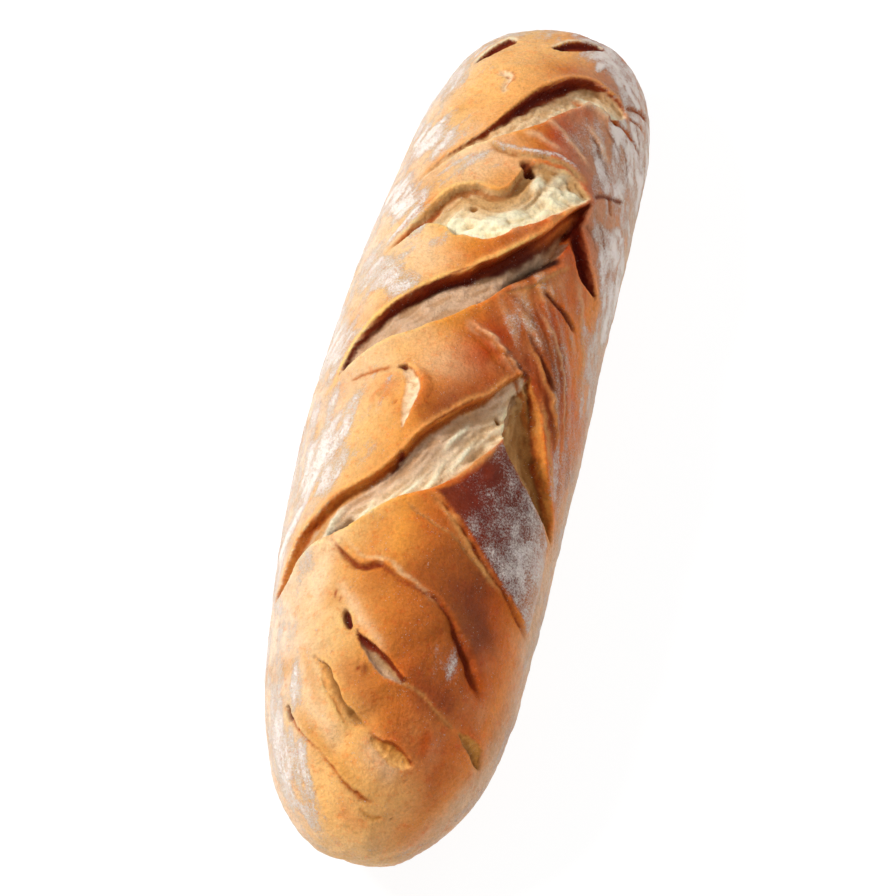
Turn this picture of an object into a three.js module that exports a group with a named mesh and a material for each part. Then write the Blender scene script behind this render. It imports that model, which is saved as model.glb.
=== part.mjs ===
// A short baguette with a blunt, plump form: one loaf, baked as one piece, lying on its flat base.
// Millimetres. +Y runs along the loaf to its wider far end, +X to its right side, +Z up from the base.
// A place on the crust is [along, around]: along is a share of the crust line from one end to the other
// (-1 the near end, 0 the middle, 1 the far end), and around is the angle from the crown in degrees,
// positive towards the right side and 180 under the loaf.

import * as THREE from "three";
import { mergeVertices } from "three/addons/utils/BufferGeometryUtils.js";

// Overall sizes of the smooth loaf.
const LENGTH = 294;
const WIDTH = 84;
const HEIGHT = 66;

// Form of the loaf: how blunt its outline is, how it tapers and bows, and how it sits.
const PLAN = { power: 3.7, round: 2.54 };
const PROFILE = { power: 3.2, round: 2.2 };
const TAPER = 0.067; // growth of the width from the middle to the far end, as a share
const BOW = 5.7; // how far the middle lies to the left of the two ends
const TIP_HEIGHT = 26; // height of the two end points above the base
const BASE_SAG = 5.7; // how much of the round underside the oven floor has flattened
const WIDEST_LEVEL = 0.42; // level of the widest line, as a share of the section's height

// Mesh: rings along the loaf and vertices round it, set closer together on the scored top. The rings lean
// across the top in the direction of the cuts, so that the ears' edges run along them.
const RINGS = 82;
const AROUND = 56;
const TOP_CLOSENESS = 0.3;
const RING_LEAN = 0.25;
const CRUST_STEPS = 2000;
const POLE_FADE = 0.03; // share of the crust line at each end that carries no relief

// Broad hollows and swellings of the sides, in mm out of the smooth loaf.
const SWELLS = [
  { at: [0.48, 85], reach: 32, height: -2.6 },
  { at: [0.21, 85], reach: 28, height: -1.9 },
  { at: [-0.63, 85], reach: 26, height: 1.3 },
  { at: [-0.96, 60], reach: 24, height: -4.5 },
  { at: [0.45, -85], reach: 36, height: -1.8 },
  { at: [-0.12, -85], reach: 36, height: 1.6 },
];

// Scores, each from its left end to its right end. The crust stands up as an ear on the left of the
// line's direction, and the cut opens to the right of it: opening is the cut's greatest width, depth how
// far its foot lies under the crust, and ear how far the edge stands above it.
const CUT = { opening: 12, depth: 4.5, ear: 2.5 };
const TEAR = { opening: 7, depth: 2, ear: 1.6 };
const CRACK = { opening: 6, depth: 2.2, ear: 0.6 };
const SCORES = [
  { name: "far_left_crack", ...CRACK, path: [[0.715, -42], [0.75, -37], [0.78, -30]] },
  { name: "far_right_crack", ...CRACK, path: [[0.76, 4], [0.805, 15], [0.817, 30]] },
  { name: "first_cut", ...CUT, path: [[0.42, -31], [0.51, -13], [0.6, 2], [0.66, 18], [0.69, 36]] },
  { name: "second_cut", ...CUT, path: [[0.22, -42], [0.28, -28], [0.34, -14], [0.37, 4], [0.42, 28]] },
  {
    name: "third_cut",
    ...CUT,
    path: [[-0.06, -73], [0.015, -43], [0.12, -18], [0.18, -1], [0.305, 25], [0.39, 39]],
  },
  {
    name: "fourth_cut",
    ...CUT,
    path: [[-0.46, -76], [-0.36, -49], [-0.295, -28], [-0.21, -10], [-0.13, 11], [-0.02, 30]],
  },
  { name: "right_gap", ...CRACK, path: [[-0.03, 33], [-0.13, 38], [-0.19, 45], [-0.235, 58], [-0.265, 70]] },
  { name: "side_flap_gap", ...CRACK, path: [[0.37, 37], [0.32, 40], [0.28, 47], [0.23, 57]] },
  { name: "plate_edge", ...TEAR, path: [[-0.3, 5], [-0.345, 22], [-0.4, 42], [-0.44, 61], [-0.46, 75]] },
  {
    name: "first_tear",
    ...TEAR,
    path: [[-0.38, -36], [-0.445, -17], [-0.47, 2], [-0.52, 24], [-0.58, 44], [-0.655, 55]],
  },
  { name: "second_tear", ...TEAR, path: [[-0.53, -22], [-0.59, -8], [-0.64, 5], [-0.67, 28], [-0.7, 55]] },
  { name: "third_tear", ...TEAR, path: [[-0.595, -37], [-0.67, -19], [-0.73, -3], [-0.77, 22]] },
  { name: "fourth_tear", ...TEAR, path: [[-0.69, -53], [-0.75, -35], [-0.82, -14], [-0.84, 8]] },
];
const FOOT = 0.28; // where a cut's foot lies, as a share of its opening
const EAR_REACH = 9; // how far behind its edge an ear dies away
const PATH_STEPS = 48;

const CRUST = { color: 0xd08a45, roughness: 0.6, metalness: 0 };

// The loaf's cross-section at the station t: -1 at the near end, 1 at the far end.
function section(t) {
  const slim = (1 - Math.abs(t) ** PLAN.power) ** (1 / PLAN.round);
  const rise = (1 - Math.abs(t) ** PROFILE.power) ** (1 / PROFILE.round);
  const top = TIP_HEIGHT + (HEIGHT - TIP_HEIGHT) * rise;
  const bottom = TIP_HEIGHT - (TIP_HEIGHT + BASE_SAG) * rise;
  return {
    halfWidth: (WIDTH / 2) * slim * (1 + TAPER * t),
    top,
    bottom,
    level: bottom + (top - bottom) * WIDEST_LEVEL,
    centre: BOW * (t * t - 0.5),
  };
}

// The crust line is the loaf's outline from above: its stations and their distances from the near end.
const crustLine = Array.from({ length: CRUST_STEPS + 1 }, (_, i) => ({
  t: -Math.cos((Math.PI * i) / CRUST_STEPS),
  distance: 0,
}));
for (let i = 1; i <= CRUST_STEPS; i++) {
  const [a, b] = [crustLine[i - 1], crustLine[i]];
  const run = ((b.t - a.t) * LENGTH) / 2;
  const step = section(b.t).halfWidth - section(a.t).halfWidth;
  b.distance = a.distance + Math.hypot(run, step);
}
const HALF_CRUST = crustLine[CRUST_STEPS].distance / 2;

// The station at a share of the crust line.
function stationAt(along) {
  const distance = (along + 1) * HALF_CRUST;
  let low = 0;
  let high = CRUST_STEPS;
  while (high - low > 1) {
    const middle = (low + high) >> 1;
    if (crustLine[middle].distance < distance) low = middle;
    else high = middle;
  }
  const [a, b] = [crustLine[low], crustLine[high]];
  return a.t + ((b.t - a.t) * (distance - a.distance)) / (b.distance - a.distance);
}

// The crust unrolled flat: x around and y along, both in mm.
function unroll([along, around]) {
  return new THREE.Vector3(THREE.MathUtils.degToRad(around) * (WIDTH / 2), along * HALF_CRUST, 0);
}

for (const score of SCORES) {
  score.line = new THREE.CatmullRomCurve3(score.path.map(unroll)).getSpacedPoints(PATH_STEPS);
}

// Where a point of the unrolled crust lies by a line: its share of the way along the line, and its
// distance from it, positive on the right of the line's direction.
function placeBy(line, point) {
  let best = { distance: Infinity, share: 0 };
  const across = new THREE.Vector3();
  for (let i = 0; i < PATH_STEPS; i++) {
    const way = line[i + 1].clone().sub(line[i]);
    const from = point.clone().sub(line[i]);
    const k = THREE.MathUtils.clamp(from.dot(way) / way.lengthSq(), 0, 1);
    across.copy(from).addScaledVector(way, -k);
    if (across.length() < Math.abs(best.distance)) {
      const side = way.y * from.x - way.x * from.y < 0 ? -1 : 1;
      best = { distance: side * across.length(), share: (i + k) / PATH_STEPS };
    }
  }
  return best;
}

// Height of a score's relief at a point of the unrolled crust.
function scoreRelief(score, point) {
  const { distance, share } = placeBy(score.line, point);
  const fullness = Math.sqrt(Math.sin(Math.PI * THREE.MathUtils.clamp(share, 0, 1)));
  const ear = score.ear * fullness;
  if (distance < 0 || fullness === 0) return ear * Math.exp(distance / EAR_REACH);
  const across = distance / (score.opening * fullness);
  const { smoothstep } = THREE.MathUtils;
  const wall = smoothstep(across, 0, FOOT);
  const slope = smoothstep(across, FOOT, 1);
  return ear * (1 - wall) - score.depth * fullness * wall * (1 - slope);
}

function swellRelief(swell, point) {
  const distance = point.distanceTo(unroll(swell.at));
  return swell.height * Math.exp(-((distance / swell.reach) ** 2));
}

// A point of the finished crust.
function crustPoint(along, around) {
  const { halfWidth, top, bottom, level, centre } = section(stationAt(along));
  const angle = THREE.MathUtils.degToRad(around);
  const [sin, cos] = [Math.sin(angle), Math.cos(angle)];
  const here = unroll([along, around]);
  let relief = 0;
  for (const swell of SWELLS) relief += swellRelief(swell, here);
  for (const score of SCORES) relief += scoreRelief(score, here);
  relief *= THREE.MathUtils.smoothstep((1 - Math.abs(along)) / POLE_FADE, 0, 1);
  const x = centre + (halfWidth + relief) * sin;
  const z = level + (cos > 0 ? top - level + relief : level - bottom) * cos;
  return new THREE.Vector3(x, (stationAt(along) * LENGTH) / 2, Math.max(z, 0));
}

// A sphere whose poles are the loaf's ends, with each vertex moved to its place on the crust.
function loafGeometry() {
  const sphere = new THREE.SphereGeometry(1, AROUND, RINGS);
  sphere.deleteAttribute("normal");
  sphere.deleteAttribute("uv");
  const position = sphere.getAttribute("position");
  const onSphere = new THREE.Vector3();
  for (let i = 0; i < position.count; i++) {
    onSphere.fromBufferAttribute(position, i);
    const ring = 1 - (2 * Math.acos(THREE.MathUtils.clamp(onSphere.y, -1, 1))) / Math.PI;
    const turn = Math.atan2(onSphere.x, onSphere.z);
    const around = turn - TOP_CLOSENESS * Math.sin(turn);
    const along = ring + RING_LEAN * Math.sin(around) * (1 - ring * ring);
    position.setXYZ(i, ...crustPoint(along, THREE.MathUtils.radToDeg(around)));
  }
  const geometry = mergeVertices(sphere);
  geometry.computeBoundingBox();
  const centre = geometry.boundingBox.getCenter(new THREE.Vector3());
  geometry.translate(-centre.x, -centre.y, 0);
  geometry.computeVertexNormals();
  return geometry;
}

const loaf = new THREE.Mesh(loafGeometry(), new THREE.MeshStandardMaterial(CRUST));
loaf.name = "loaf";

const baguette = new THREE.Group();
baguette.name = "baguette";
baguette.add(loaf);

export default baguette;
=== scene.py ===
"""Looks of a short baguette: one loaf with diagonal cuts that opened into ears over pale crumb.

The loaf is modelled on its crust. A place on the crust is (along, around): along is mm over the crust
from the loaf's middle to its far end, and around is degrees from the crown, positive to the right side.
A fine grid over the smooth loaf takes the relief and the paint of every cut, tear and patch, a voxel
remesh evens out its faces, and a last pass adds the small texture of crust, crumb and flour.
"""

import math

import bpy
import numpy as np
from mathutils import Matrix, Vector
from mathutils.kdtree import KDTree


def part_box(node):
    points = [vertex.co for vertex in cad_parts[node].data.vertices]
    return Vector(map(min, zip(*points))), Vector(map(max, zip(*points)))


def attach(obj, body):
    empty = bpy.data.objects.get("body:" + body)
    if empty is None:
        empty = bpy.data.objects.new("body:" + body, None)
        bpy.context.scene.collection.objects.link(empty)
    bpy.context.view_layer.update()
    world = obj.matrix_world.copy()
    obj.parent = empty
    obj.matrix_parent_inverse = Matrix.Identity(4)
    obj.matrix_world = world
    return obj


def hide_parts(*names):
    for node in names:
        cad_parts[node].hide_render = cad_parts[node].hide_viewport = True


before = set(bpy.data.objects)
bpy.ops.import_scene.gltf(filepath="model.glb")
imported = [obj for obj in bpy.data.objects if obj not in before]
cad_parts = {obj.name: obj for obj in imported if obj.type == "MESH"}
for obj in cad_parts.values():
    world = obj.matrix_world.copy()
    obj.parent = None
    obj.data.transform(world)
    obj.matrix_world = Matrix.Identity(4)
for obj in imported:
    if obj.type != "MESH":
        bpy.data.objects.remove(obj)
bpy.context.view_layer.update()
LOW, HIGH = (np.array(corner) * 1000 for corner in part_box("loaf"))

MM = 0.001

# Smooth form of the loaf in mm, as the CAD part states it.
LENGTH = HIGH[1] - LOW[1]
WIDTH = HIGH[0] - LOW[0] - 1.6  # the bow and the swellings take the rest
HEIGHT = HIGH[2] - LOW[2] - 3.4  # the ears stand above the crown
PLAN_POWER, PLAN_ROUND = 3.7, 2.54
PROFILE_POWER, PROFILE_ROUND = 3.2, 2.2
TAPER = 0.067
BOW = 5.7
TIP_HEIGHT = 26.0
BASE_SAG = 5.7
WIDEST_LEVEL = 0.42

# Grid and mesh.
ROW_STEP = 0.45  # mm along the crust
AROUND_COUNT = 440
TOP_CLOSENESS = 0.35
DEGREE = 0.7  # mm of crust to a degree around, so that distances can be taken on the unrolled crust
VOXEL = 0.5
TIP_REACH = 22  # mm from each tip in which swellings die away and the crust turns pale


def srgb(red, green, blue):
    """Linear colour of an sRGB one given in 0 to 255."""
    value = np.array([red, green, blue]) / 255
    return np.where(value <= 0.04045, value / 12.92, ((value + 0.055) / 1.055) ** 2.4)


# Colours.
PALE = srgb(233, 190, 138)
GOLDEN = srgb(218, 152, 84)
AMBER = srgb(190, 100, 30)
BROWN = srgb(128, 58, 18)
BURNT = srgb(112, 30, 6)
# Near-black brown painted into deep pockets and holes: painted shade.
POCKET_SHADE = srgb(52, 20, 8)
CREAM = srgb(244, 218, 180)
BRIGHT_CREAM = srgb(255, 248, 214)
PINK_CRUMB = srgb(214, 176, 142)
TAN_CRUMB = srgb(206, 160, 104)
OLIVE = srgb(158, 106, 50)
HONEY = srgb(222, 152, 70)
VEIL = srgb(248, 224, 200)
LIGHT_GOLD = srgb(255, 190, 112)
PEACH = srgb(250, 208, 162)
RUSSET = srgb(156, 64, 20)
TOASTED = srgb(224, 118, 46)
FLOUR = srgb(252, 238, 228)
MAUVE = srgb(206, 150, 112)
MAROON = srgb(96, 26, 10)

# The crust's colour round the loaf: pale where flour lies on the left, browned on the right shoulder.
CRUST_BELT = [
    (-180, srgb(172, 112, 62)),
    (-140, srgb(188, 130, 76)),
    (-95, srgb(226, 190, 156)),
    (-50, srgb(234, 192, 144)),
    (-25, srgb(234, 182, 114)),
    (0, srgb(230, 149, 59)),
    (22, srgb(184, 64, 3)),
    (45, srgb(212, 99, 14)),
    (62, srgb(238, 139, 54)),
    (80, srgb(216, 154, 96)),
    (110, srgb(206, 152, 100)),
    (145, srgb(180, 120, 68)),
    (180, srgb(172, 112, 62)),
]


def smoothstep(low, high, value):
    share = np.clip((value - low) / (high - low), 0, 1)
    return share * share * (3 - 2 * share)


def mix(first, second, share):
    share = np.asarray(share)[..., None]
    return first * (1 - share) + second * share


def blurred(field, times):
    """A grid field smoothed over its neighbours."""
    for _ in range(times):
        field = (field + np.roll(field, 1, axis=1) + np.roll(field, -1, axis=1)) / 3
        padded = np.pad(field, ((1, 1), (0, 0)), mode="edge")
        field = (padded[:-2] + padded[1:-1] + padded[2:]) / 3
    return field


class Noise:
    """Seeded smooth noise of points in mm, about -1 to 1."""

    CELLS = 32

    def __init__(self, seed):
        self.lattice = np.random.default_rng(seed).uniform(-1, 1, (self.CELLS,) * 3)

    def once(self, points):
        cell = np.floor(points).astype(int)
        part = points - cell
        part = part * part * (3 - 2 * part)
        total = 0
        for corner in np.ndindex(2, 2, 2):
            weight = np.prod(np.where(corner, part, 1 - part), axis=-1)
            index = (cell + corner) % self.CELLS
            total = total + weight * self.lattice[index[..., 0], index[..., 1], index[..., 2]]
        return total

    def __call__(self, points, size, octaves=3):
        total, weight, spread = 0, 1, 0
        for octave in range(octaves):
            total = total + weight * self.once(points / size * 2.03**octave + 7.7 * octave)
            spread += weight
            weight *= 0.5
        return total / spread * 1.6


# ---------------------------------------------------------------------------------------------------
# Form


def section(station):
    """Half width, top, bottom, widest level and centre of the cross-section at a station -1 to 1."""
    reach = np.clip(np.abs(station), 0, 1)
    slim = (1 - reach**PLAN_POWER) ** (1 / PLAN_ROUND)
    rise = (1 - reach**PROFILE_POWER) ** (1 / PROFILE_ROUND)
    top = TIP_HEIGHT + (HEIGHT - TIP_HEIGHT) * rise
    bottom = TIP_HEIGHT - (TIP_HEIGHT + BASE_SAG) * rise
    level = bottom + (top - bottom) * WIDEST_LEVEL
    return WIDTH / 2 * slim * (1 + TAPER * station), top, bottom, level, BOW * (station**2 - 0.5)


def crust_line():
    """Stations and their distances along the crust from the loaf's middle."""
    station = -np.cos(np.linspace(0, math.pi, 8001))
    steps = np.hypot(np.diff(station) * LENGTH / 2, np.diff(section(station)[0]))
    distance = np.concatenate([[0], np.cumsum(steps)])
    return station, distance - np.interp(0, station, distance)


STATIONS, DISTANCES = crust_line()


def smooth_loaf(along, around):
    """Points of the smooth loaf in mm, before its base is flattened."""
    station = np.interp(along, DISTANCES, STATIONS)
    half_width, top, bottom, level, centre = section(station)
    angle = np.radians(around)
    up = np.cos(angle)
    x = centre + half_width * np.sin(angle)
    z = level + np.where(up > 0, top - level, level - bottom) * up
    return np.stack([x, station * LENGTH / 2, z], axis=-1)


class Skin:
    """The grid over the crust, with what the features change at each of its points."""

    def __init__(self):
        ends = DISTANCES[0] + ROW_STEP, DISTANCES[-1] - ROW_STEP
        rows = np.linspace(*ends, round((ends[1] - ends[0]) / ROW_STEP))
        turn = np.linspace(-math.pi, math.pi, AROUND_COUNT, endpoint=False)
        columns = np.degrees(turn - TOP_CLOSENESS * np.sin(turn))
        self.along, self.around = np.meshgrid(rows, columns, indexing="ij")
        self.flat = np.stack([self.around * DEGREE, self.along, np.zeros_like(self.along)], axis=-1)
        shape = self.along.shape
        self.height = np.zeros(shape)
        self.push = np.zeros(shape + (2,))
        self.colour = np.zeros(shape + (3,))
        self.flour = np.zeros(shape)
        self.crumb = np.zeros(shape)
        self.to_tip = np.minimum(self.along - DISTANCES[0], DISTANCES[-1] - self.along)

    def window(self, lines, margin):
        """The slices of rows and columns within a margin of some lines on the unrolled crust."""
        low = np.min([line.min(axis=0) for line in lines], axis=0) - margin
        high = np.max([line.max(axis=0) for line in lines], axis=0) + margin
        columns, rows = self.flat[0, :, 0], self.flat[:, 0, 1]
        return (
            slice(*np.searchsorted(rows, (low[1], high[1]))),
            slice(*np.searchsorted(columns, (low[0], high[0]))),
        )

    def points(self):
        """Points of the finished crust in mm."""
        step = 0.2
        fade = smoothstep(0, 9, self.to_tip) * smoothstep(180, 150, np.abs(self.around))
        base = smooth_loaf(self.along, self.around)
        over = smooth_loaf(self.along + step, self.around) - smooth_loaf(self.along - step, self.around)
        side = smooth_loaf(self.along, self.around + step) - smooth_loaf(self.along, self.around - step)
        out = np.cross(side, over)
        over, side, out = (way / np.linalg.norm(way, axis=-1, keepdims=True) for way in (over, side, out))
        moved = base + out * (self.height * fade)[..., None]
        return moved + side * self.push[..., :1] + over * self.push[..., 1:]


def line_through(places, steps=90):
    """Smooth line on the unrolled crust through (along, around) places."""
    knots = np.array([(around * DEGREE, along) for along, around in places], float)
    knots = np.vstack([2 * knots[0] - knots[1], knots, 2 * knots[-1] - knots[-2]])
    place = np.linspace(0, len(places) - 1, steps)
    index = np.minimum(place.astype(int), len(places) - 2)
    t = (place - index)[:, None]
    a, b, c, d = (knots[index + i] for i in range(4))
    return 0.5 * (2 * b + (c - a) * t + (2 * a - 5 * b + 4 * c - d) * t**2 + (3 * (b - c) + d - a) * t**3)


def near_line(line, flat):
    """Distance to a line, share of the way along it, side (1 right, -1 left) and its right normal."""
    points = flat[..., :2]
    best = np.full(points.shape[:-1], np.inf)
    share, side = np.zeros_like(best), np.ones_like(best)
    normal = np.zeros_like(points)
    for index, (start, end) in enumerate(zip(line[:-1], line[1:])):
        way = end - start
        off = points - start
        t = np.clip(off @ way / (way @ way), 0, 1)
        gap = off - t[..., None] * way
        distance = np.hypot(gap[..., 0], gap[..., 1])
        closer = distance < best
        best[closer] = distance[closer]
        share[closer] = (index + t[closer]) / (len(line) - 1)
        side[closer] = np.where(off[..., 0] * way[1] - off[..., 1] * way[0] >= 0, 1, -1)[closer]
        normal[closer] = np.array([way[1], -way[0]]) / np.hypot(*way)
    return best, share, side, normal


def inside_outline(outline, flat):
    """Which points lie inside a closed outline."""
    x, y = flat[..., 0], flat[..., 1]
    inside = np.zeros(x.shape, bool)
    for (x0, y0), (x1, y1) in zip(outline, np.roll(outline, -1, axis=0)):
        if y0 != y1:
            crosses = ((y0 > y) != (y1 > y)) & (x < (x1 - x0) * (y - y0) / (y1 - y0) + x0)
            inside ^= crosses
    return inside


def profile(values, share):
    """A value that changes along a line, from a few values at even shares of it."""
    values = np.atleast_1d(np.asarray(values, float))
    return np.interp(share, np.linspace(0, 1, len(values)), values)


skin = Skin()
broad_noise, edge_noise, streak_noise = Noise(11), Noise(12), Noise(13)


EAR_REACH = 8  # how far behind its edge an ear dies away
LIP_REACH = 4
CUT_MARGIN = 14  # how far from a cut or crease the crust is worked on


def open_cut(ear, lip, rise=0, shelf=3, foot=3, over=0, wall=0.9, lip_wall=0.8, lip_rise=0, burn=0,
             tones=(CREAM, CREAM), burn_tones=(BURNT, BROWN), edge_tone=None, rough=0.5, strands=0.3,
             web_size=4.0, toast=0.5):
    """A cut that opened between the crust's ear and the lip across from it.

    Both run from left to right. The ear's edge stands rise above the crust and hangs over by over.
    The floor lies shelf deep below the ear and foot deep at the lip, and strands of crumb run along it.
    The ear's underside is burnt for a width of burn. Lists give values along the cut.
    """
    ear, lip = line_through(ear), line_through(lip)
    here = skin.window([ear, lip], CUT_MARGIN)
    flat = skin.flat[here] + edge_noise(skin.flat[here], 5, 3)[..., None] * np.array([0.5, 0.5, 0]) * rough
    to_ear, share, _, normal = near_line(ear, flat)
    to_lip, lip_share, _, _ = near_line(lip, flat)
    inside = inside_outline(np.vstack([ear, lip[::-1]]), flat)
    rise, over, shelf, foot = (profile(values, share) for values in (rise, over, shelf, foot))
    across = to_ear / np.maximum(to_ear + to_lip, 1e-6)
    down = smoothstep(0, wall, to_ear)
    up = smoothstep(0, lip_wall, to_lip)
    way = share * np.hypot(*np.diff(ear, axis=0).T).sum()
    strand = streak_noise(np.stack([to_ear / 1.4, way / 13, way * 0 + ear[0, 1]], axis=-1), 1, 3)
    web_place = np.stack([to_ear / 1.7, way / web_size, way * 0 + ear[0, 0]], axis=-1)
    web = smoothstep(0.75, 0.0, np.abs(streak_noise(web_place, 1, 2)))
    floor = -(shelf + (foot - shelf) * smoothstep(0.1, 1, across)) + strands * (strand + 1.6 * web - 0.8)
    lip_height = profile(lip_rise, lip_share)
    edge = rise * (1 - down) + lip_height * (1 - up)
    on_ear = (to_ear <= to_lip) | inside
    behind = rise * np.exp(-to_ear / EAR_REACH) * (to_ear <= to_lip + 6)
    beside = lip_height * np.exp(-((to_lip / LIP_REACH) ** 2))
    skin.height[here] += np.where(inside, edge + floor * down * up, np.where(on_ear, behind, beside))
    hang = over * np.where(inside, 1 - down, np.exp(-to_ear / 2.5)) * on_ear
    skin.push[here] += normal * hang[..., None]
    blotch = edge_noise(skin.flat[here] + 50, 4)
    burn = profile(burn, share) * (1 + 0.3 * blotch)
    burnt = (1 - smoothstep(0.7, 1.2, to_ear / np.maximum(burn, 1e-3))) * (burn > 0.05)
    tone = mix(tones[0], tones[1], smoothstep(0.2, 0.95, across))
    tone = tone * (1 + 0.1 * strand)[..., None]
    # Painted shade in the pores between the crumb's raised walls, which are a touch lighter.
    tone = mix(tone * np.array([0.82, 0.7, 0.56]), tone * 1.06, web)
    deep = smoothstep(0.1, 0.9, to_ear / np.maximum(burn, 1e-3) + 0.3 * strand)
    tone = mix(tone, mix(*burn_tones, deep), burnt)
    amount = np.where(inside, smoothstep(0, 0.35, np.minimum(to_ear, to_lip)), 0)
    skin.colour[here] = mix(skin.colour[here], tone, amount)
    skin.crumb[here] = np.maximum(skin.crumb[here] * (1 - amount), amount * (1 - burnt))
    skin.flour[here] *= 1 - amount
    toasted = toast * np.exp(-to_ear / 5) * smoothstep(0, 0.12, share) * smoothstep(1.05, 0.85, share)
    toasted = np.where(on_ear & ~inside, toasted, 0)
    skin.colour[here] = mix(skin.colour[here], skin.colour[here] * np.array([0.9, 0.66, 0.36]), toasted)
    skin.flour[here] *= 1 - 0.6 * np.minimum(toasted, 1)
    if edge_tone is not None:
        rim = np.where(inside, 0, np.exp(-((to_ear / 1.2) ** 2)))
        rim = rim * smoothstep(0, 0.08, share) * smoothstep(1, 0.92, share)
        skin.colour[here] = mix(skin.colour[here], edge_tone, 0.8 * rim)
        skin.flour[here] *= 1 - 0.7 * rim


def stroke(places, width, tone=None, amount=0.7, flour=0.0, height=0.0, taper=0.3):
    """A soft streak of colour or flour along a line, which may stand up as a ridge."""
    line = line_through(places, 40)
    here = skin.window([line], 3 * np.max(width))
    flat = skin.flat[here] + edge_noise(skin.flat[here] + 120, 3)[..., None] * np.array([0.5, 0.5, 0])
    distance, share, _, _ = near_line(line, flat)
    ends = smoothstep(0, taper, share) * smoothstep(1, 1 - taper, share)
    band = np.exp(-((distance / (profile(width, share) / 2)) ** 2)) * ends
    skin.height[here] += height * band
    if tone is not None:
        skin.colour[here] = mix(skin.colour[here], tone, amount * band)
        skin.flour[here] *= 1 - 0.8 * amount * band
    skin.flour[here] = np.maximum(skin.flour[here], flour * band)


def crease(places, width=1.2, depth=1.0, left=0, right=0, reach=5, tone=None, strength=0.8, taper=0.15):
    """A crack or fold along a line, with the crust to its left and right standing up by left and right."""
    line = line_through(places)
    here = skin.window([line], CUT_MARGIN)
    flat = skin.flat[here]
    flat = flat + edge_noise(flat + 20, 4)[..., None] * np.array([0.4, 0.4, 0])
    distance, share, side, _ = near_line(line, flat)
    ends = smoothstep(0, taper, share) * smoothstep(1, 1 - taper, share)
    width, depth = profile(width, share), profile(depth, share)
    groove = np.exp(-((distance / np.maximum(width / 2, 0.2)) ** 2)) * ends
    step = np.where(side > 0, profile(right, share), profile(left, share)) * np.exp(-distance / reach)
    skin.height[here] += step * ends * smoothstep(0, 0.8, distance) - depth * groove
    if tone is not None:
        skin.colour[here] = mix(skin.colour[here], tone, np.clip(groove * strength * 1.3, 0, 1))
        skin.flour[here] *= 1 - groove


def hole(along, around, length, width, turn=0, depth=2, tone=POCKET_SHADE):
    """A burst bubble or hole: an ellipse of length by width, its long side turned from the loaf's length."""
    centre = np.array([[around * DEGREE, along]])
    here = skin.window([centre], length)
    off = skin.flat[here][..., :2] - centre
    off = off + edge_noise(skin.flat[here] + 80, 1.5)[..., None] * 0.25
    long_way, short_way = turned(off, turn)
    distance = np.hypot(long_way / (length / 2), short_way / (width / 2))
    pit = 1 - smoothstep(0.6, 1.05, distance)
    skin.height[here] -= depth * pit
    # The pit takes a darker tone: painted shade of the hollow, together with the browner colour of its
    # inside.
    skin.colour[here] = mix(skin.colour[here], tone, pit)
    skin.flour[here] *= 1 - pit


def turned(off, turn):
    """Offsets along and across a direction that is turned from the loaf's length by some degrees."""
    cos, sin = math.cos(math.radians(turn)), math.sin(math.radians(turn))
    return off[..., 1] * cos + off[..., 0] * sin, off[..., 0] * cos - off[..., 1] * sin


def patch(along, around, long_reach, side_reach, turn=0, wobble=0.35, size=9, streaks=0.0):
    """Share by which a soft-edged patch of crust covers each point, streaked along its long side."""
    off = skin.flat[..., :2] - np.array([around * DEGREE, along])
    long_way, short_way = turned(off, turn)
    distance = np.hypot(long_way / long_reach, short_way / side_reach)
    wander = wobble * paint_noise(size)
    if streaks:
        near = distance < 1.6
        drawn = np.stack([long_way / 9, short_way / 3, np.full_like(long_way, around)], axis=-1)[near]
        wander[near] = wobble * streak_noise(drawn, 1, 3)
    share = smoothstep(1.4, 0.1, distance + wander)
    if streaks:
        near = share > 0
        drawn = np.stack([short_way / 2.2, long_way / 16, np.full_like(long_way, along)], axis=-1)[near]
        share[near] *= 1 - streaks * smoothstep(-0.35, 0.5, streak_noise(drawn, 1, 3))
    return share


_paint_noise = {}


def paint_noise(size):
    if size not in _paint_noise:
        _paint_noise[size] = broad_noise(skin.flat + 300, size)
    return _paint_noise[size]


def dust(outline, amount, feather=3.0, streaks=0.5, turn=0):
    """Flour over an outlined stretch of the crust, drawn out into slanting streaks."""
    outline = line_through(outline + outline[:1])
    here = skin.window([outline], 2)
    flat = skin.flat[here]
    flat = flat + edge_noise(flat + 60, 6)[..., None] * np.array([1.5, 1.5, 0])
    distance, _, _, _ = near_line(outline, flat)
    long_way, short_way = turned(flat, -turn)
    drawn = np.stack([short_way / 12, long_way / 2.5, np.full_like(long_way, amount)], axis=-1)
    drawn = streak_noise(drawn, 1, 3)
    share = np.where(inside_outline(outline, flat), smoothstep(0, feather, distance), 0)
    share = amount * share * (1 - streaks * smoothstep(-0.3, 0.7, drawn)) * (0.8 + 0.35 * edge_noise(flat, 5))
    skin.flour[here] = np.maximum(skin.flour[here], share)


def pillow(along, around, long_reach, side_reach, height, turn=0):
    """A broad swelling or hollow of the crust, which dies away at the two tips."""
    off = skin.flat[..., :2] - np.array([around * DEGREE, along])
    long_way, short_way = turned(off, turn)
    swell = height * np.exp(-((long_way / long_reach) ** 2 + (short_way / side_reach) ** 2))
    skin.height += swell * smoothstep(0, TIP_REACH, skin.to_tip)


# ---------------------------------------------------------------------------------------------------
# Broad form and colour of the crust


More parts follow.
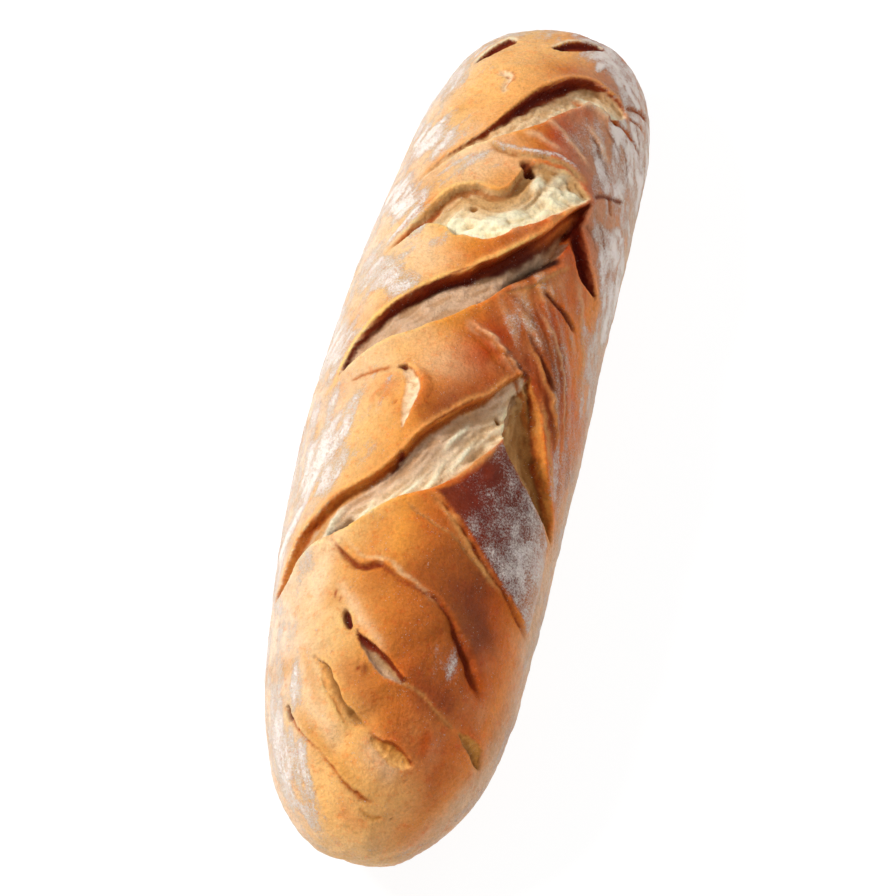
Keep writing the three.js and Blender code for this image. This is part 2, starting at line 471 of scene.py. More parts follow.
def bake_crust():
    """Golden crust that is paler low on the sides and browner where it bulged."""
    for swell in SIDE_SWELLS:
        pillow(*swell)
    skin.height += 0.5 * broad_noise(skin.flat, 28, 2)
    angles, tones = zip(*CRUST_BELT)
    wander = skin.around + 10 * paint_noise(30)
    belt = np.stack([np.interp(wander, angles, channel) for channel in np.array(tones).T], axis=-1)
    tone = paint_noise(14)
    belt = mix(belt, belt * np.array([0.88, 0.68, 0.42]), 0.75 * smoothstep(0.0, 0.8, -tone))
    skin.colour[:] = mix(belt, PALE, 0.22 * smoothstep(0.1, 0.9, tone))


SIDE_SWELLS = [
    # along, around, long reach, side reach, height
    (80, 85, 34, 26, -2.6),
    (35, 85, 28, 26, -1.9),
    (-30, 85, 24, 26, -0.6),
    (-105, 85, 26, 26, 1.3),
    (-146, 62, 18, 34, -4.5),
    (75, -85, 38, 26, -1.8),
    (140, -80, 14, 26, 1.2),
    (-20, -85, 38, 26, 1.6),
]

BROWNED = [
    # along, around, long reach, side reach, turn, tone, amount
    (-84, 28, 20, 12, -35, BROWN, 0.75),
    (-66, 22, 14, 9, -30, AMBER, 0.8),
    (-100, 30, 16, 12, -30, AMBER, 0.85),
    (-107, 33, 4, 3.5, 0, BURNT, 0.6),
    (-88, 38, 4, 2.5, 0, BURNT, 0.5),
    (-80, -5, 14, 12, -30, AMBER, 0.45),
    (-112, 12, 18, 14, -30, AMBER, 0.6),
    (-104, -7, 1.6, 1.2, 0, BURNT, 0.8),
    # The middle block's lower right is browner (this and the next entry, and those at along -20 to -26 near
    # around 10 to 16): partly its toasting, partly painted shade on its side away from the light.
    (-22, 6, 12, 5, 45, BROWN, 0.75),
    (-12, 12, 16, 9, 40, AMBER, 0.75),
    (16, 32, 14, 6, -30, BROWN, 0.6),
    (0, 46, 20, 5, -25, BROWN, 0.6),
    (86, 30, 14, 9, -20, BROWN, 0.55),
    (-92, 16, 12, 12, -35, AMBER, 0.5),
    (112, 0, 14, 12, 20, AMBER, 0.35),
    (76, -4, 8, 10, 20, AMBER, 0.35),
    (106, -16, 18, 20, 30, LIGHT_GOLD, 0.8),
    (74, -18, 13, 20, 35, PEACH, 0.75),
    (36, -30, 9, 20, 40, PEACH, 0.7),
    (-8, -34, 16, 14, 30, PEACH, 0.35),
    (-146, 4, 28, 64, 0, LIGHT_GOLD, 0.8),
    (-120, 50, 16, 12, 0, TOASTED, 0.6),
    (-103, 23, 8, 7, -30, BURNT, 0.8),
    (-86, 30, 9, 6, -40, BURNT, 0.8),
    (-76, 29, 13, 8, -35, RUSSET, 0.85),
    (-100, 26, 13, 11, -35, RUSSET, 0.5),
    (-146, 66, 18, 18, 0, TOASTED, 0.45),
    (104, 46, 46, 20, 0, MAUVE, 0.85),
    (60, 56, 24, 14, 0, MAUVE, 0.7),
    (-76, 32, 15, 14, -35, BROWN, 0.55),
    (-66, 18, 9, 10, -35, AMBER, 0.7),
    (-20, 10, 13, 9, 45, BROWN, 0.5),
    (-25, 13, 10, 6, 45, RUSSET, 0.7),
    (2, 28, 14, 7, -30, BROWN, 0.55),
    (26, 24, 12, 7, 30, GOLDEN, 0.6),
    (-12, -48, 14, 8, 30, GOLDEN, 0.4),
    (126, 0, 10, 22, 0, LIGHT_GOLD, 0.7),
    (-26, 16, 12, 8, 45, MAROON, 0.4),
    (-78, 24, 13, 13, -35, BROWN, 0.45),
    (-120, 16, 12, 14, 0, AMBER, 0.5),
    (14, 28, 16, 8, -30, AMBER, 0.45),
    (-88, 20, 16, 12, -35, AMBER, 0.6),
    (-4, -4, 10, 12, 40, PEACH, 0.4),
]

FLOURED = [
    # along, around, long reach, side reach, turn, amount
    (0, -88, 150, 22, 0, 0.62),
    (82, -44, 10, 22, 38, 0.8),
    (118, -62, 24, 16, 0, 0.7),
    (57, -48, 9, 22, 42, 0.95),
    (28, -40, 9, 20, 42, 0.75),
    (8, -62, 12, 14, 40, 0.8),
    (-34, -52, 22, 15, 20, 0.75),
    (-62, -66, 16, 7, 35, 0.95),
    (-128, -58, 30, 16, 0, 0.72),
    (-70, -45, 8, 8, 0, 0.45),
    (160, 0, 20, 90, 0, 0.75),
    (146, -54, 16, 18, 0, 0.7),
    (130, 38, 12, 14, 30, 0.85),
    (102, 50, 13, 12, -30, 1.0),
    (128, 64, 18, 14, -20, 0.7),
    (-60, -84, 40, 10, 0, 0.5),
    (-25, 62, 12, 8, -20, 0.6),
    (20, 72, 24, 10, -15, 0.6),
    (-10, 66, 30, 8, -15, 0.4),
    (-95, 28, 6, 5, 0, 0.6),
    (82, 46, 14, 12, -20, 0.7),
    (0, 95, 150, 14, 0, 0.4),
]


def paint_crust():
    left = smoothstep(-28, -66, skin.around + 9 * paint_noise(14))
    skin.colour[:] = mix(skin.colour, VEIL, 0.55 * left * smoothstep(-0.9, 0.5, paint_noise(6)))
    right = smoothstep(58, 84, skin.around + 9 * paint_noise(14))
    skin.colour[:] = mix(skin.colour, VEIL, 0.3 * right)
    for along, around, long_reach, side_reach, turn, tone, amount in BROWNED:
        share = amount * patch(along, around, long_reach, side_reach, turn)
        skin.colour[:] = mix(skin.colour, tone, share)
    for along, around, long_reach, side_reach, turn, amount in FLOURED:
        share = patch(along, around, long_reach, side_reach, turn, wobble=0.7, size=6, streaks=0.2)
        skin.flour[:] = np.maximum(skin.flour, 1.1 * amount * share)


def dust_far_flank():
    """Flour lies in slanting streaks along the right flank, thickest towards the far end."""
    dust([(154, 10), (146, 60), (120, 92), (92, 96), (70, 92), (68, 52), (80, 40), (92, 38), (100, 48),
          (112, 42), (122, 26), (136, 6)],
         1.0, feather=9, streaks=0.42, turn=-40)
    dust([(66, 40), (66, 52), (72, 64), (66, 88), (40, 92), (30, 76), (41, 62), (49, 52), (57, 43)],
         1.1, feather=4, streaks=0.3, turn=-70)
    dust([(92, 14), (100, 24), (102, 38), (90, 46), (80, 40), (76, 24), (84, 12)],
         0.4, feather=8, streaks=0.5, turn=-60)
    dust([(30, 66), (20, 84), (-60, 92), (-90, 84), (-60, 76), (-20, 72)],
         0.5, feather=6, streaks=0.6, turn=-80)


BLOCK_SWELLS = [
    # along, around, long reach, side reach, height, turn
    (-20, -4, 20, 16, 2.6, 40),
    (20, -40, 13, 22, 1.6, 40),
    (12, 40, 24, 8, 1.8, -25),
    (78, 16, 11, 18, 2.2, 30),
    (52, -8, 8, 16, 0.6, 30),
    (110, -14, 13, 18, 1.4, 30),
    (-60, 8, 9, 14, 1.8, -35),
    (-84, 14, 10, 16, 2.2, -40),
    (-106, -4, 8, 18, 1.4, -40),
    (-128, 4, 9, 18, 0.8, -40),
    (-98, 8, 3.5, 22, -1.2, -40),
    (-119, -6, 3.5, 20, -1.0, -40),
]


def swell_blocks():
    """The crust between two cuts bulges like a pillow, and sinks where two bulges meet."""
    for swell in BLOCK_SWELLS:
        pillow(*swell)


# ---------------------------------------------------------------------------------------------------
# Cuts and tears


def score_far_end():
    open_cut(
        ear=[(116, -40), (121, -40), (128, -35), (132, -31), (130, -24)],
        lip=[(116, -40), (118, -37), (122, -30), (126, -26), (130, -24)],
        shelf=1.8, foot=1.6, rise=[0, 0.6, 0.8, 0], burn=3, burn_tones=(BURNT, TOASTED),
        tones=(RUSSET, TOASTED), wall=0.8, toast=0, edge_tone=VEIL,
    )
    open_cut(
        ear=[(127, -2), (132, 4), (136, 14), (138, 25), (138, 34)],
        lip=[(127, -2), (126, 4), (128, 11), (133, 22), (138, 34)],
        shelf=2.2, foot=1.6, rise=[0, 0.8, 0.8, 0], burn=3.5, burn_tones=(BURNT, RUSSET),
        tones=(RUSSET, TOASTED), wall=0.8, toast=0, edge_tone=VEIL,
    )
    crease([(109, -22), (108, -16), (105, -13), (102, -14), (98, -12)], width=2, depth=0.9, left=0.5,
           reach=2, tone=CREAM)
    stroke([(109, -23), (109.5, -16), (106, -11), (102, -12), (98, -10)], 0.8, AMBER, 0.9, height=-0.4)
    hole(106.5, -15, 1.4, 1.6, 0, 1, BROWN)
    crease([(95, -58), (97, -52), (94, -36), (93, -23), (92, -12)], width=0.8, depth=0.2, left=0.4, reach=2)


def score_first():
    open_cut(
        ear=[(60, -44), (71, -32), (77, -22), (84, -13), (92, -7), (101, 0), (107, 7), (112, 14), (115, 24),
             (115, 36), (113, 48)],
        lip=[(60, -44), (69, -30), (75, -20), (78, -11), (82, 0), (87, 8), (92, 12), (97, 17), (101, 22),
             (106, 28), (105, 43), (109, 50)],
        rise=[0, 0.6, 1.0, 1.8, 2.6, 2.6, 2, 1.2, 0], shelf=[0.6, 1, 1.6, 2.6, 3.8, 3.4, 2.5, 1.6],
        foot=[0.6, 1.4, 2.2, 3.6, 4, 3.5, 3, 2], over=[0, 0.4, 0.8, 1, 1, 0.6, 0],
        lip_rise=[0, 0.6, 1, 1, 0.6, 0], burn=[0.2, 0.3, 0.5, 1.6, 3.2, 4.2, 3, 1.2, 0.6, 0.5],
        tones=(PALE, CREAM),
        burn_tones=(BURNT, RUSSET), edge_tone=GOLDEN,
    )
    crease([(107, 16), (106, 24), (106, 34), (104, 44), (103, 56), (101, 70)], width=1.2, depth=0.9, left=0.8,
           reach=3, tone=TOASTED)
    stroke([(108, 14), (108, 24), (108, 34), (106, 44), (105, 56)], 1.6, BRIGHT_CREAM, 0.8, height=0.4)
    stroke([(96, 15), (101, 21), (104, 28), (103.5, 36), (101.5, 44)], 3, PEACH, 0.6, flour=0.3, height=0.8)
    stroke([(101, 15), (97, 11)], 0.8, BRIGHT_CREAM, 0.9, height=0.6)
    crease([(113, 48), (117, 60), (119, 75)], width=1.4, depth=1.2, left=0.5, tone=AMBER)
    crease([(109, 50), (111, 58), (112, 68)], width=1.2, depth=0.8, tone=AMBER)
    hole(103.5, 41, 3, 5.5, 10, 1.4, RUSSET)


def crumb_lumps(places, size, height, tone):
    """Torn lumps of crumb that stand up in an open cut."""
    for number, (along, around) in enumerate(places):
        turn = 25 * number
        lump = patch(along, around, size, size * 0.7, turn, wobble=0.4, size=3)
        skin.height += height * lump
        skin.colour[:] = mix(skin.colour, tone, 0.75 * lump * np.minimum(skin.crumb + 0.2, 1))


def score_second():
    open_cut(
        ear=[(34, -46), (38, -42), (44, -36), (50, -29), (55, -24), (59, -17), (60, -10), (58.5, -3), (60, 2),
             (66, 5), (71, 9), (72, 16), (71.5, 25), (70, 31), (68, 38)],
        lip=[(34, -46), (39, -38), (45, -28), (44, -19), (41, -12), (40, -4), (41, 4), (45, 10), (50, 18),
             (58, 27), (67, 37)],
        rise=[0, 0.8, 1.4, 1.6, 1.2, 1, 0.8, 0.8, 0.4, 0.2], shelf=[1, 2, 2.5, 3, 3, 2.5, 2.5, 2, 1.5],
        foot=[1, 3, 3.5, 3, 2.5, 2, 1.5, 1], lip_rise=[0, 0.6, 0.8, 0.3, 0.6, 1, 0],
        burn=[0.8, 2.5, 3.5, 3, 1.4, 1.4, 0.8, 0.5, 0.3], tones=(TAN_CRUMB, BRIGHT_CREAM),
        burn_tones=(TAN_CRUMB, PALE), rough=1.4, strands=0.5, web_size=6, toast=0.1,
    )
    stroke([(37, -43), (43, -36), (48, -29), (53, -23)], 1.0, TOASTED, 0.7, height=-0.4)
    stroke([(40, -44), (47, -37), (53, -30), (58, -22)], 0.9, TOASTED, 0.55, height=-0.3)
    crumb_lumps([(46, -14), (43, -5), (48, 1), (46, 8), (52, 12), (55, 20), (60, 25)], 4.6, 1.5, BRIGHT_CREAM)
    crumb_lumps([(66, 15), (63, 20), (69, 22), (65, 28)], 3.2, 1.2, BRIGHT_CREAM)
    hole(52.5, -9, 2.6, 3.4, 0, 1.6, OLIVE)
    hole(70, 8.5, 4.2, 6, 25, 2.5, BROWN)
    crease([(78, -12), (75, -7), (73, 4), (74, 15), (73, 26), (71, 35)], width=1.6, depth=0.5, left=1.2,
           tone=TAN_CRUMB)
    stroke([(79, -12), (76, -7), (74.5, 4), (75.5, 15), (74.5, 26), (72, 35)], 1.5, flour=0.7, height=0.3)


def score_third():
    open_cut(
        ear=[(-16, -66), (-10, -54), (0, -47), (6, -40), (12, -32), (17, -24), (21, -18), (25, -11), (28, -4),
             (32, 1), (35, 6), (40, 12), (45, 18), (52, 24), (60, 30), (67, 38)],
        lip=[(-16, -66), (-13, -58), (-7, -50), (-1, -37), (2, -28), (5, -18), (8, -12), (10, -7), (13, -2),
             (16, 2), (19, 7), (25, 13), (31, 19), (37, 26), (44, 32), (54, 36)],
        rise=[0, 1, 1.8, 2.2, 2.5, 2.8, 3, 3.2, 3, 1.5], shelf=[1, 2, 2.5, 3, 3, 3.5, 3.5, 3, 2],
        foot=[1, 2, 3, 3, 3, 4, 5.5, 6, 4], over=[0, 0.5, 0.8, 1, 1.2, 1.4, 1.4, 1, 0],
        lip_rise=[0, 0.5, 1, 1, 1, 1.2, 1, 0.5], burn=[0.4, 0.6, 0.9, 1.4, 2.2, 3.2, 4.2, 5, 5.5, 6.5],
        tones=(PINK_CRUMB, PINK_CRUMB), burn_tones=(RUSSET, MAROON), edge_tone=LIGHT_GOLD, strands=0.2,
        web_size=9,
    )
    # A dark pocket painted along the foot of the lip: painted shade.
    crease([(26, 12), (32, 19.5), (38, 26.5), (44, 34)], width=[1.5, 3.2, 3.2, 2], depth=1.8, tone=POCKET_SHADE,
           strength=1)
    stroke([(42, 16.5), (50, 24), (57, 30.5), (65, 37)], 5, TOASTED, 0.9)
    hole(20, 5, 1.4, 2.4, 30, 1.2, BROWN)
    stroke([(0, -45), (8, -36), (15, -27), (22, -16), (30, -2), (37, 9)], 0.7, BURNT, 0.9)
    open_cut(
        ear=[(64, 38), (56, 39), (50, 46), (45, 53), (40, 60)],
        lip=[(64, 38), (52, 34), (46, 40), (41, 47), (40, 60)],
        shelf=3.5, foot=3, rise=[0.5, 1, 1, 0.5], burn=4, tones=(TOASTED, TOASTED),
        burn_tones=(BURNT, RUSSET), wall=0.8, toast=0,
    )
    crease([(68, 38), (72, 43), (75, 50), (77, 56), (80, 62)], width=1.3, depth=1, tone=BROWN)
    crease([(75, 49), (72, 51), (69, 53)], width=1.2, depth=1, tone=AMBER)
    crease([(22, 12), (29, 24), (35, 30), (44, 40)], width=1, depth=0.4, left=0.7, reach=2, tone=GOLDEN)


STRANDS = [  # torn threads of crumb along the fourth cut
    ((-66, -46), (-58, -38), (-52, -30)),
    ((-59, -30), (-55, -22), (-49, -17)),
    ((-60, -24), (-54, -14), (-46, -8)),
    ((-53, -10), (-47, -4), (-40, 2)),
    ((-50, -2), (-43, 5), (-34, 9)),
    ((-41, 10), (-33, 15), (-24, 20)),
    ((-35, 5), (-28, 10), (-20, 16)),
]


def score_fourth():
    open_cut(
        ear=[(-79, -74), (-72, -63), (-66, -57), (-61, -52), (-56, -44), (-51, -35), (-47, -25), (-43, -17),
             (-37, -10), (-31, -5), (-25, 2), (-17, 11), (-12, 18), (-5, 24), (0, 30)],
        lip=[(-79, -74), (-76, -60), (-69, -51), (-66, -44), (-63, -34), (-62, -27), (-59, -21), (-55, -14),
             (-51, -6), (-47, 5), (-41, 14), (-34, 20), (-25, 28), (-15, 32), (-4, 33)],
        rise=[0, 1, 1.6, 1.8, 1.8, 1.6, 1.6, 1.5, 1, 0.5], shelf=[1, 1.5, 2, 2.5, 3, 3, 3, 2.5, 2],
        foot=[1, 2, 4, 5, 4, 3, 2.5, 2.5, 3, 3], over=[0, 0.4, 0.8, 0.8, 0.6, 0.6, 0.4, 0],
        lip_rise=[0, 0.6, 1, 1.2, 1, 1.2, 1.2, 0.3, 0], burn=[0.8, 1.4, 2, 1.8, 1.4, 1.2, 1.5, 2, 1.2, 0.8],
        # The crumb is darker by the ear than by the lip: partly its own colour, partly painted shade under
        # the ear.
        tones=(PINK_CRUMB, CREAM), burn_tones=(AMBER, HONEY), edge_tone=GOLDEN, rough=1.0, strands=0.35,
        web_size=9,
    )
    for strand in STRANDS:
        stroke(strand, 1.5, BRIGHT_CREAM, 0.8, height=0.9, taper=0.45)
    # A dark pocket painted in front of the lip: painted shade.
    crease([(-63, -41), (-61, -34), (-58, -27)], width=4, depth=2, tone=POCKET_SHADE, strength=1)
    crumb_lumps([(-66, -37), (-68, -33), (-67, -29)], 2.6, 0.9, CREAM)
    stroke([(-76, -64), (-68, -54), (-61, -45), (-54, -36), (-49, -26), (-45, -18)], 1.6, HONEY, 0.7,
           height=0.4)
    hole(-17.5, 26, 2.2, 3.2, 30, 1.5, OLIVE)


def open_right_gap():
    open_cut(
        ear=[(0, 33), (-6, 40), (-15, 46), (-22, 50), (-29, 58), (-36, 66), (-44, 73)],
        lip=[(0, 33), (-12, 29), (-25, 30), (-30, 38), (-36, 50), (-40, 61), (-44, 73)],
        rise=[0.5, 1.4, 1.4, 1, 0], shelf=[2, 4, 4, 3, 1], foot=[2, 4, 4, 3, 1],
        lip_rise=[0, 0.8, 1, 0.5], burn=[0.6, 1.2, 1, 0.5], tones=(OLIVE, TAN_CRUMB),
        burn_tones=(HONEY, AMBER), rough=1.0,
    )
    stroke([(-2, 38), (-14, 48), (-24, 56), (-32, 64)], 1.8, GOLDEN, 0.85, height=0.4)
    stroke([(2, 37), (-10, 49), (-20, 58)], 1.2, BROWN, 0.7)


def raise_plate():
    crease([(-47, 4), (-51, 12), (-56, 21), (-62, 32), (-66, 42), (-69, 52), (-72, 61), (-75, 74)],
           width=1, depth=0.8, left=1.2, reach=12, tone=AMBER)
    crease([(-52, -4), (-56, 4), (-59, 16), (-63, 28), (-66, 38)], width=1, depth=0.6, right=0.4, tone=GOLDEN)
    outline = line_through([(-47, 6), (-43, 14), (-36, 21), (-25, 28), (-30, 39), (-36, 51), (-41, 63),
                            (-48, 70), (-72, 72), (-70, 58), (-67, 46), (-63, 36), (-57, 24), (-52, 14)])
    distance, _, _, _ = near_line(np.vstack([outline, outline[:1]]), skin.flat)
    on_plate = inside_outline(outline, skin.flat)
    inside = np.where(on_plate, smoothstep(0, 1.2, distance), 0)
    skin.height += np.where(on_plate, smoothstep(0, 5, distance), 0)
    dark = mix(BURNT, MAROON, smoothstep(-0.4, 0.6, paint_noise(9)))
    skin.colour[:] = mix(skin.colour, dark, 0.9 * inside * smoothstep(70, 48, skin.around))
    veil = 0.2 + 0.42 * smoothstep(26, 58, skin.around) + 0.22 * paint_noise(6)
    skin.flour[:] = np.where(inside > 0, np.maximum(skin.flour * 0.4, veil * inside), skin.flour)
    stroke([(-46, 3), (-51, 11), (-57, 20), (-63, 31), (-67, 42), (-70, 52)], 1.8, GOLDEN, 0.9, height=0.4)
    stroke([(-44, 10), (-36, 19), (-26, 28)], 2.0, GOLDEN, 0.8)
    stroke([(-25, 31), (-31, 41), (-37, 52), (-42, 64)], 2.5, GOLDEN, 0.6)


AMBER_BANDS = [  # path, width, tone and amount of the browned folds of the near end
    ([(-70, -20), (-76, -4), (-84, 14), (-94, 30)], 7, AMBER, 0.6),
    ([(-84, -10), (-90, 6), (-98, 20), (-106, 30)], 9, AMBER, 0.65),
    ([(-98, -24), (-106, -12), (-112, 2), (-116, 18)], 8, AMBER, 0.55),
    ([(-112, -50), (-120, -36), (-128, -22), (-134, -8), (-136, 8)], 6, HONEY, 0.8),
    ([(-104, -44), (-112, -34), (-120, -24), (-128, -12)], 7, PEACH, 0.6),
    ([(-122, -6), (-128, 8), (-132, 24)], 8, PEACH, 0.45),
    ([(-120, 42), (-130, 50), (-140, 58)], 10, AMBER, 0.4),
    ([(-60, -28), (-68, -34), (-80, -38), (-92, -40)], 6, PEACH, 0.6),
    ([(-74, -30), (-84, -20), (-94, -6), (-100, 4)], 4, PEACH, 0.6),
    ([(-94, -44), (-102, -38), (-110, -32), (-118, -26)], 4, GOLDEN, 0.6),
    ([(-140, -20), (-146, -6), (-150, 12)], 7, TOASTED, 0.4),
]


def tear_near_end():
    for path, width, tone, amount in AMBER_BANDS:
        stroke(path, width, tone, amount)
    # The long tear across the near end: its groove colour is partly the torn crust's own and partly painted
    # shade in the slit.
    crease([(-62, -36), (-66, -32), (-70, -27), (-74, -17), (-73, -8), (-76, 0), (-78, 9), (-81, 20),
            (-87, 30), (-92, 38), (-98, 47), (-100, 55)],
           width=[0.8, 0.6, 1.8, 2.2, 0.8, 0.6, 1.0, 1.4, 3.2, 3.4, 1.6],
           depth=[0.4, 0.5, 1.4, 1.6, 0.6, 0.5, 0.9, 1.2, 2.4, 2.4, 0.8],
           left=[0.4, 0.8, 1.2, 1.4, 1.4, 1.4, 1], tone=RUSSET, strength=0.7)
    # Pale line along the tear's upper lip: painted highlight.
    stroke([(-60, -30), (-66, -25), (-71, -16), (-71, -8), (-74, 1), (-78, 12), (-84, 24)], 1.0, PALE, 0.7)
    hole(-90, -19, 8, 3, -25, 2.2, BURNT)
    open_cut(
        ear=[(-92, -15), (-95, -8), (-98, -1), (-101, 6), (-106, 14)],
        lip=[(-92, -15), (-97, -11), (-102, -5), (-105.5, 3), (-106, 14)],
        rise=[0, 0.8, 0.8, 0], shelf=2.4, foot=1.4, burn=[2.5, 2.6, 1.6, 0.4], tones=(TAN_CRUMB, PINK_CRUMB),
        burn_tones=(BURNT, RUSSET), strands=0.1, web_size=9,
    )
    hole(-104.5, 12, 1.2, 2.4, 0, 0.8, BROWN)
    for along, around, length, turn in ((-82, -27, 4, -20), (-84, -24, 2.5, -20), (-104, -10, 3, 35)):
        hole(along, around, length, 1.0, turn, 0.3, RUSSET)
    crease([(-105, 8), (-106, 18), (-110, 30), (-113, 44)], width=0.9, depth=0.6, left=0.5, tone=GOLDEN)
    open_cut(
        ear=[(-112, 44), (-111, 54), (-112, 64), (-117, 74)],
        lip=[(-112, 44), (-115, 54), (-117, 64), (-117, 74)],
        shelf=1.3, foot=1.3, burn=0, tones=(HONEY, OLIVE), wall=0.7, lip_wall=0.7,
    )
    open_cut(
        ear=[(-99, -35), (-103, -27), (-107, -21), (-112, -16), (-117, -8), (-120, -1)],
        lip=[(-99, -35), (-105.5, -30), (-111.5, -24.5), (-117, -17), (-120.5, -9), (-120, -1)],
        rise=[0, 0.5, 0.5, 0], shelf=1.6, foot=1.2, burn=0, tones=(OLIVE, LIGHT_GOLD), wall=0.6, lip_wall=0.6,
        rough=1.4,
    )
    open_cut(
        ear=[(-120, -1), (-122, 6), (-122, 14), (-124, 21), (-127, 28)],
        lip=[(-120, -1), (-124.5, 3), (-128, 11), (-129, 20), (-127, 28)],
        rise=[0, 0.5, 0.5, 0], shelf=1.6, foot=1.0, burn=0.8, burn_tones=(RUSSET, AMBER),
        tones=(HONEY, LIGHT_GOLD), wall=0.6, lip_wall=0.6, rough=1.4,
    )
    crease([(-114, -54), (-118, -46), (-122, -40), (-125, -34), (-129, -26), (-134, -16), (-137, -6),
            (-139, 3), (-140, 14)],
           width=[1.8, 1.2, 0.8, 0.8, 1, 1.6, 1.2], depth=[1.4, 0.9, 0.7, 0.7, 0.9, 0.9], left=0.6,
           tone=AMBER, strength=1)
    hole(-116, -49, 6, 2.8, -25, 1.8, BURNT)
    for along, around in ((-121.5, -41), (-124.5, -36)):
        hole(along, around, 2, 1.4, -25, 1, AMBER)
    crease([(-142, -1), (-144, 5), (-145, 14), (-144, 22)], width=1.2, depth=0.5, tone=HONEY)
    crease([(-148, -13), (-150, -4), (-151, 4)], width=1, depth=0.5, tone=HONEY)
    hole(-143.5, 30, 1.6, 2.4, 0, 1.2, POCKET_SHADE)


def streak_right_strand():
    """The crust right of the middle was drawn out into brown ridges that run down to the right."""
    off = skin.flat[..., :2] - np.array([45 * DEGREE, 0])
    long_way, short_way = turned(off, -28)
    drawn = np.stack([short_way / 3.2, long_way / 26, np.full_like(long_way, 5.0)], axis=-1)
    ridge = streak_noise(drawn, 1, 3)
    share = patch(6, 40, 44, 15, -25)
    skin.height += 0.8 * ridge * share
    skin.colour[:] = mix(skin.colour, RUSSET, share * 0.85 * smoothstep(-0.1, 0.5, -ridge))
    skin.colour[:] = mix(skin.colour, PALE, share * 0.45 * smoothstep(0.2, 0.8, ridge))
    skin.flour[:] = np.maximum(skin.flour, 0.42 * share * smoothstep(-0.1, 0.6, ridge))
    stroke([(12, 0), (4, 18), (-4, 31), (-14, 43), (-24, 52), (-34, 62)], 2.2, AMBER, 0.7, height=0.8)
    stroke([(8, 14), (0, 30), (-10, 44), (-22, 55)], 1.6, BROWN, 0.8, height=-0.7)
    stroke([(12, 26), (2, 38), (-8, 50), (-18, 59)], 1.6, GOLDEN, 0.7, height=0.7)
    stroke([(20, 36), (8, 48), (-6, 58), (-20, 66)], 1.3, BROWN, 0.6, height=-0.5)
    stroke([(30, 4), (20, 24), (8, 38), (-6, 50)], 1.8, BROWN, 0.6)
    stroke([(26, 26), (14, 40), (0, 53), (-16, 64)], 1.4, PALE, 0.6, height=0.4)
    stroke([(44, 40), (34, 50), (20, 60), (2, 68)], 2.0, PALE, 0.5, height=0.3)
    stroke([(60, 39), (57, 45), (53, 52)], 0.9, BROWN, 0.8)
    stroke([(64, 46), (60, 51), (55, 58)], 0.9, BROWN, 0.7)


FAR_FOLDS = [
    [(96, 24), (90, 34), (82, 42)],
    [(93, 30), (86, 40), (78, 48)],
    [(100, 34), (96, 44), (90, 52)],
    [(98, 50), (93, 56), (86, 62)],
    [(112, 54), (106, 62), (98, 68)],
]

FAR_RIDGES = [
    [(90, 4), (88, 14), (82, 26), (76, 34)],
    [(82, 0), (81, 10), (77, 20)],
    [(96, 26), (91, 36), (82, 46)],
]


def crease_far_blocks():
    """The far blocks carry a few long folds where the crust stretched towards the right."""
    for path in FAR_FOLDS:
        stroke(path, 1.0, BROWN, 0.6, height=-0.35)
    for path in FAR_RIDGES:
        stroke(path, 2.4, PEACH, 0.5, height=0.5)
    stroke([(62, -34), (66, -26), (70, -20), (74, -12)], 1.8, flour=0.7, height=0.3)
    stroke([(37, -48), (43, -42), (50, -36), (55, -30)], 2.4, flour=0.9, height=0.4)
    stroke([(-5, -60), (2, -52), (9, -44)], 3.0, flour=0.8, height=0.3)


def mark_middle_block():
    pillow(-20, 2, 16, 14, 0.8, 40)
    scab = patch(-17, -25, 7, 6, 20, wobble=0.9, size=3)
    skin.colour[:] = mix(skin.colour, TOASTED, 0.8 * scab * smoothstep(-0.3, 0.3, paint_noise(3)))
    skin.height += 0.9 * scab * paint_noise(3)
    stroke([(-8, -14), (-13, -6.5), (-20, -5.5), (-28, -7.5)], 3, AMBER, 0.7, height=0.8)
    stroke([(12, 1), (9.5, 6), (7, 14), (4, 19), (1, 25), (-3, 30)], 2.2, PEACH, 0.7, height=0.9)
    open_cut(
        ear=[(-7, -19), (-9, -13), (-14, -8.5), (-20, -8), (-26, -9.5), (-33, -11)],
        lip=[(-7, -19), (-11, -17), (-15, -14), (-20, -13.5), (-26, -13), (-33, -11)],
        rise=[0, 0.6, 0.6, 0.3, 0], shelf=1.2, foot=0.7, burn=0.5, burn_tones=(HONEY, AMBER),
        tones=(CREAM, PEACH), wall=0.7, lip_wall=0.7, strands=0.25, rough=1.2, toast=0.3,
    )
    stroke([(9, -1), (6.5, 5), (4, 12), (1, 17), (-2, 23), (-6, 28)], 1.5, AMBER, 0.6, height=-0.5)
    crease([(-11, -44), (-9, -32), (-8, -22)], width=1, depth=0.4, tone=AMBER)
    hole(-8, -18, 2.2, 3.4, 0, 1.6, BROWN)
    crease([(-36, -9), (-40, -11), (-43, -14)], width=1.2, depth=1.2, tone=BURNT)
    crease([(11, 2), (9, 7), (6, 15), (3, 20), (0, 26), (-4, 31), (-10, 38), (-17, 46)],
           width=1.2, depth=0.8, left=1.0, reach=5, tone=AMBER)
    crease([(30, 29), (28, 35), (26, 43), (24, 52)], width=1.6, depth=1.2, left=0.6, tone=BROWN)
    crease([(14, 26), (9, 33), (4, 39), (-2, 47)], width=1.4, depth=0.9, left=0.5, tone=BROWN)


